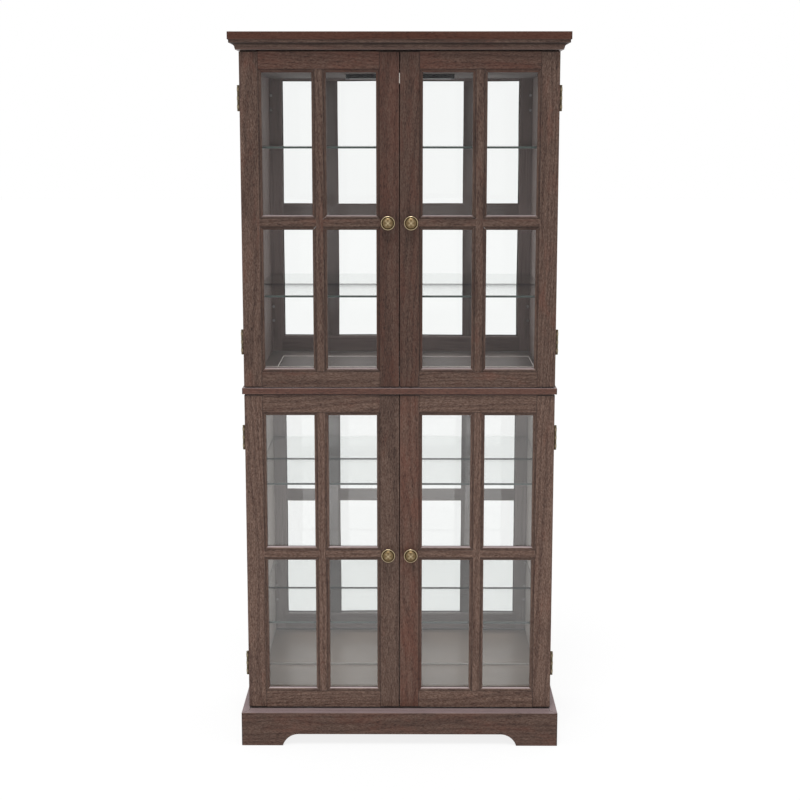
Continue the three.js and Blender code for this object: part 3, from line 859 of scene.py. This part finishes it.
def shelf_pins():
    """Four stepped pins under each shelf, pushed into the side panels."""
    material = steel("pin steel", (0.70, 0.69, 0.66), 0.2)
    head = [(0, 0), (4.2, 0), (4.5, 0.4), (4.5, 1.2), (4.1, 1.6)]
    shank = [(2.6, 1.8), (2.6, 8.2), (2.1, 8.8), (0, 8.8)]
    from_ends, below_shelf = 32 * MM, 2.75 * MM
    for tier in TIERS:
        for i in (1, 2):
            low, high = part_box(f"shelf_{tier}_{i}")
            for side, sign in SIDES.items():
                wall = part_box(f"{tier}_side_{side}")[0 if sign > 0 else 1].x
                turn = Matrix.Rotation(-sign * math.pi / 2, 4, "Y")
                for end, y in (("front", low.y + from_ends), ("back", high.y - from_ends)):
                    place = Matrix.Translation((wall, y, low.z - below_shelf)) @ turn
                    new_piece(f"pin_{tier}_{i}_{side}_{end}", revolved(head + shank, 24), material, "cabinet",
                              place=place)


def glazing_strips():
    """A mitred quarter-round strip that holds each door's glass from behind."""
    width, rounding, over_rebate = 6.4, 2.6, 0.7
    materials = {tier: lacquer(f"{tier} strip lacquer", DOOR_BACKS[tier]) for tier in TIERS}
    for tier, side in DOORS:
        door = f"door_{tier}_{side}"
        glass_low, glass_high = millimetres(f"{door}_glass")
        front = glass_high.y + 0.1
        thickness = millimetres(f"{door}_top_rail")[1].y - 0.2 - front
        rounded = arc(width - rounding, thickness - rounding, rounding, 0, 90, 5)
        section = [(0, 0), (width, 0), *rounded, (0, thickness)]
        left, right = (glass_low.x - over_rebate, 1), (glass_high.x + over_rebate, -1)
        bottom, top = (glass_low.z - over_rebate, 1), (glass_high.z + over_rebate, -1)
        vertices = []
        for (x, inward), (z, upward) in ((left, bottom), (right, bottom), (right, top), (left, top)):
            for inset, depth in section:
                vertices.append((x + inward * inset, front + depth, z + upward * inset))
        count = len(section)
        faces = []
        for corner in range(4):
            here, there = corner * count, (corner + 1) % 4 * count
            for k in range(count):
                n = (k + 1) % count
                faces.append([here + k, there + k, there + n, here + n])
        new_piece(f"{door}_glazing_strip", (vertices, faces), materials[tier], door, smooth=False)


def strike_plates():
    """A steel plate with one screw on the back of each door, opposite its magnet."""
    plate_steel = steel("strike steel", (0.66, 0.65, 0.63), 0.28)
    half_width, most_half_height, corner_radius, thickness = 9, 11.0, 2, 0.9
    for tier, side in DOORS:
        door = f"door_{tier}_{side}"
        low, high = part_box(f"catch_{tier}")
        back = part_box(f"{door}_meeting_stile")[1].y
        place = Matrix.Translation((SIDES[side] * POLE_ASIDE * MM, back, (low.z + high.z) / 2))
        half_height = min(most_half_height, (high.z - low.z) / MM / 2 - 1)
        x, z = half_width - corner_radius, half_height - corner_radius
        rim = []
        for cx, cz, start in ((x, z, 0), (-x, z, 90), (-x, -z, 180), (x, -z, 270)):
            rim += arc(cx, cz, corner_radius, start, start + 90, 4)
        screw = moved(screw_head(2.8, 0.7), Matrix.Translation((0, thickness, 0)) @ FACING_BACK)
        mesh = joined([prism(rim, "Y", (0.02, thickness)), screw])
        new_piece(f"{door}_strike_plate", mesh, plate_steel, door, smooth=False, place=place)


def catch_magnets():
    """Two steel pole pieces for each door in the front of each catch."""
    poles = steel("pole steel", (0.55, 0.54, 0.53), 0.35)
    half_length, half_thickness, stand_out = 6.5, 1.1, 0.7
    for tier in TIERS:
        low, high = millimetres(f"catch_{tier}")
        middle = (low.z + high.z) / 2
        rise = min(9.0, (high.z - low.z) / 2 - 2) * 0.55
        blocks = []
        for x in (-POLE_ASIDE, POLE_ASIDE):
            for z in (middle - rise, middle + rise):
                blocks.append(slab((x - half_length, low.y - stand_out, z - half_thickness),
                                   (x + half_length, low.y + 0.2, z + half_thickness)))
        piece = new_piece(f"catch_{tier}_poles", joined(blocks), poles, "cabinet",
                          smooth=False)
        round_edges(piece, 0.25)


def catch_fin():
    """A pale fin on the upper catch that stands between the two doors."""
    low, high = millimetres("catch_upper")
    front = millimetres("door_upper_left_meeting_stile")[0].y + 0.6
    half_thickness = 0.95
    fin = slab((-half_thickness, front, low.z + 2), (half_thickness, low.y + 0.2, high.z - 8))
    piece = new_piece("catch_upper_fin", fin, plastic("pale fin plastic", (0.50, 0.47, 0.43)), "cabinet",
                      smooth=False)
    round_edges(piece, 0.25)


def gap_shade_strips():
    """Dark strips on the meeting edges that fill most of the gap between the doors of a pair with painted
    shade.
    """
    gap_shade = plastic("dark bristles", (0.022, 0.016, 0.013), 0.9)
    half_slit, from_back, thickness = 0.15, 7, 4
    for tier, side in DOORS:
        door = f"door_{tier}_{side}"
        low, high = millimetres(f"{door}_meeting_stile")
        edge = high.x if side == "left" else low.x
        x0, x1 = sorted((edge, SIDES[side] * half_slit))
        top = millimetres("catch_upper")[0].z if tier == "upper" else high.z - 1
        front = high.y - from_back
        new_piece(f"{door}_gap_shade_strip", slab((x0, front, low.z + 1), (x1, front + thickness, top)), gap_shade, door,
                  smooth=False)


def mirror_channels():
    """The channel that each mirror stands in, paler in the upper tier."""
    colours = {"lower": (0.40, 0.36, 0.34), "upper": (0.80, 0.70, 0.68)}
    thickness, height, chamfer = 2.1, 4.0, 0.7
    for tier, colour in colours.items():
        low, high = millimetres(f"mirror_{tier}")
        back, bottom, top = low.y - 0.1, low.z - 0.1, low.z + height
        front = back - thickness
        section = [(front, bottom), (front, top - 0.8), (front + chamfer, top), (back, top), (back, bottom)]
        new_piece(f"mirror_{tier}_channel", prism(section, "X", (low.x + 1, high.x - 1)),
                  plastic(f"{tier} channel", colour), "cabinet", smooth=False)


def floor_liner():
    """A thin liner on the floor of the upper tier with a pale lip in front and at the sides."""
    floor = millimetres("middle_board")[1].z + 0.05
    back = millimetres("mirror_upper")[0].y - 2.5
    left, right, front, lip = -322, 352, -26.5, 1.4  # as far as the pale line in the photo seems to run
    thickness, lip_height = 0.9, 3.4
    sheet = slab((left + lip, front + lip, floor), (right - lip, back, floor + thickness))
    new_piece("upper_floor_liner", sheet, lacquer("liner sheet", (0.15, 0.125, 0.118)), "cabinet",
              smooth=False)
    lip_top = floor + lip_height
    lips = [slab((left, front, floor), (right, front + lip, lip_top)),
            slab((left, front + lip, floor), (left + lip, back, lip_top)),
            slab((right - lip, front + lip, floor), (right, back, lip_top))]
    new_piece("upper_floor_liner_lip", joined(lips), plastic("liner lip", (0.82, 0.76, 0.74)), "cabinet",
              smooth=False)


def light_diffuser():
    """Frosted lens along the lower front edge of the light bar, with an end cap at each end."""
    low, high = millimetres("light_bar")
    lens = plastic("frosted lens", (0.62, 0.62, 0.60), 0.35)
    plain = plastic("end cap", (0.02, 0.02, 0.022), 0.35)
    half_width, bulge, middle, cap_length, gap, margin = 4.8, 0.768, low.y + 7, 7, 2, 0.4
    section = [(middle + half_width * u, low.z + bulge * v) for u, v in arc(0, 0, 1, 180, 360, 12)]
    ends = (low.x + cap_length + gap, high.x - cap_length - gap)
    count = len(section)
    vertices = [(x, y, z) for x in ends for y, z in section]
    faces = [[k, k + 1, count + k + 1, count + k] for k in range(count - 1)]
    faces += [list(range(count)), list(range(2 * count - 1, count - 1, -1))]
    faces.append([0, count, 2 * count - 1, count - 1])
    new_piece("light_bar_lens", (vertices, faces), lens, "cabinet")
    caps = [slab((x0, low.y - margin, low.z - margin), (x1, high.y + margin, high.z - 0.1))
            for x0, x1 in ((low.x - 0.1, low.x + cap_length), (high.x - cap_length, high.x + 0.1))]
    piece = new_piece("light_bar_caps", joined(caps), plain, "cabinet", smooth=False)
    round_edges(piece, 0.6)


def back_nails():
    """Nail heads round the edge of the back sheet."""
    inset, gaps_across, gaps_up = 7, 6, 14
    low, high = millimetres("back_panel")
    width, height = high.x - low.x - 2 * inset, high.z - low.z - 2 * inset
    across = [low.x + inset + width * i / gaps_across for i in range(gaps_across + 1)]
    upright = [low.z + inset + height * i / gaps_up for i in range(gaps_up + 1)]
    spots = [(x, z) for x in across for z in (upright[0], upright[-1])]
    spots += [(x, z) for x in (across[0], across[-1]) for z in upright[1:-1]]
    head = revolved([(0, -0.2), (2.6, -0.2), (2.6, 0.1), (2.2, 0.5), (1.2, 0.75), (0, 0.8)], 16)
    heads = [moved(head, Matrix.Translation((x, high.y, z)) @ FACING_BACK) for x, z in spots]
    new_piece("back_nails", joined(heads), steel("nail steel", (0.45, 0.44, 0.42), 0.4), "cabinet")


def glue_blocks():
    """Three-cornered blocks glued under the base board, behind the plinth's corners."""
    wood = raw_wood("block wood")
    height, leg, clearance = 45, 48, 0.4
    base_low, base_high = millimetres("base_board")
    inner = millimetres("plinth_right")[0].x - clearance
    top = base_low.z - 0.1
    ends = (("front", millimetres("plinth_front")[1].y + clearance, 1), ("back", base_high.y - 0.5, -1))
    for side, sign in SIDES.items():
        for end, y, way in ends:
            x = sign * inner
            outline = [(x, y), (x - sign * leg, y), (x, y + way * leg)]
            piece = new_piece(f"glue_block_{end}_{side}", prism(outline, "Z", (top - height, top)), wood,
                              "cabinet", smooth=False)
            round_edges(piece, 1.0)


# ---- Other CAD nodes ----------------------------------------------------------------------


def finish_glass():
    panes = {"lower": clear_glass("lower pane glass", (0.992, 0.996, 0.994), 1.6),
             "upper": clear_glass("upper pane glass", (0.992, 0.996, 0.994), 1.22)}
    shelf = clear_glass("shelf glass", (0.925, 0.935, 0.93), 1.12, edge_tint=(0.035, 0.05, 0.044))
    for tier, side in DOORS:
        dress(f"door_{tier}_{side}_glass", panes[tier])
    for tier in TIERS:
        for i in (1, 2):
            dress(f"shelf_{tier}_{i}", shelf)
        dress(f"mirror_{tier}", silvering(f"silver_{tier}"))


def finish_fittings():
    smooth_cad("catch_upper", 1.2, 3)
    dress("catch_upper", catch_plastic("ivory plastic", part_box("catch_upper")))
    smooth_cad("catch_lower", 1.2, 3)
    dress("catch_lower", plastic("brown plastic", (0.030, 0.018, 0.013)))
    smooth_cad("light_bar", 1.5, 3)
    dress("light_bar", plastic("black plastic", (0.012, 0.012, 0.014)))
    dress("back_panel", hardboard("back sheet"))


# ---- Camera and stage ---------------------------------------------------------------------

CAMERA_HEIGHT = 1.508
CAMERA_DISTANCE = 3.6  # from the door fronts
CAMERA_ASIDE = 0.02  # from the middle of the cabinet
CAMERA_AIM = 0.0012  # from the middle of the cabinet
CAMERA_TURN = math.atan((CAMERA_ASIDE - CAMERA_AIM) / CAMERA_DISTANCE)
CAMERA_TILT = math.radians(9.2)  # down
LENS = 68
SENSOR = 36
SHIFT = -0.029
FLOOR_HALF = 30
FLOOR_GLOW = 0.83  # keeps the floor pale where little light reaches it
SUN_POWER = 2.2
SUN_SOFTNESS = math.radians(25)
SUN_TURN = (math.radians(25), 0, math.radians(-6))
MIRROR_POWER = {"lower": 1.6, "upper": 0.8}
MIRROR_GAP = 3 * MM  # of the mirror's light in front of the mirror


def link(name, data):
    thing = bpy.data.objects.new(name, data)
    bpy.context.scene.collection.objects.link(thing)
    return thing


def camera():
    data = bpy.data.cameras.new("camera")
    data.sensor_width = SENSOR
    data.lens = LENS
    data.shift_y = SHIFT
    data.clip_end = 100
    eye = link("camera", data)
    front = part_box("door_upper_left_top_rail")[0].y
    eye.location = (CAMERA_ASIDE, front - CAMERA_DISTANCE, CAMERA_HEIGHT)
    eye.rotation_euler = (math.pi / 2 - CAMERA_TILT, 0, CAMERA_TURN)
    bpy.context.scene.camera = eye


def studio():
    """White light from all round."""
    world = bpy.data.worlds.new("studio")
    world.use_nodes = True
    background = world.node_tree.nodes["Background"]
    background.inputs["Color"].default_value = (1, 1, 1, 1)
    background.inputs["Strength"].default_value = 1.0
    bpy.context.scene.world = world
    bpy.context.scene.view_settings.view_transform = "Standard"


def pale_floor():
    mesh = bpy.data.meshes.new("floor")
    corners = [(-1, -1), (1, -1), (1, 1), (-1, 1)]
    mesh.from_pydata([(x * FLOOR_HALF, y * FLOOR_HALF, 0) for x, y in corners], [], [[0, 1, 2, 3]])
    tree = Tree("pale floor", roughness=0.9)
    tree.set(tree.surface, Base_Color=(0.12, 0.12, 0.12), Specular_IOR_Level=0.0)
    tree.set(tree.surface, Emission_Color=(1, 1, 1), Emission_Strength=FLOOR_GLOW)
    mesh.materials.append(tree.material)
    link("floor", mesh)


def soft_sun():
    data = bpy.data.lights.new("key", "SUN")
    data.energy = SUN_POWER
    data.angle = SUN_SOFTNESS
    link("key", data).rotation_euler = SUN_TURN


def mirror_light():
    """The studio light that the mirrors throw back into the case, which a path tracer finds too rarely."""
    for tier, power in MIRROR_POWER.items():
        low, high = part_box(f"mirror_{tier}")
        data = bpy.data.lights.new(f"mirror light {tier}", "AREA")
        data.shape = "RECTANGLE"
        data.size = high.x - low.x
        data.size_y = high.z - low.z
        data.energy = power
        lamp = link(f"mirror light {tier}", data)
        lamp.location = ((low.x + high.x) / 2, low.y - MIRROR_GAP, (low.z + high.z) / 2)
        lamp.rotation_euler = (-math.pi / 2, 0, 0)
        lamp.visible_camera = False
        lamp.visible_glossy = False
        lamp.visible_transmission = False


camera()
studio()
pale_floor()
soft_sun()
mirror_light()
finish_boards()
finish_doors()
finish_glass()
finish_fittings()
knobs()
hinges()
shelf_pins()
glazing_strips()
strike_plates()
catch_magnets()
catch_fin()
gap_shade_strips()
mirror_channels()
floor_liner()
light_diffuser()
back_nails()
glue_blocks()
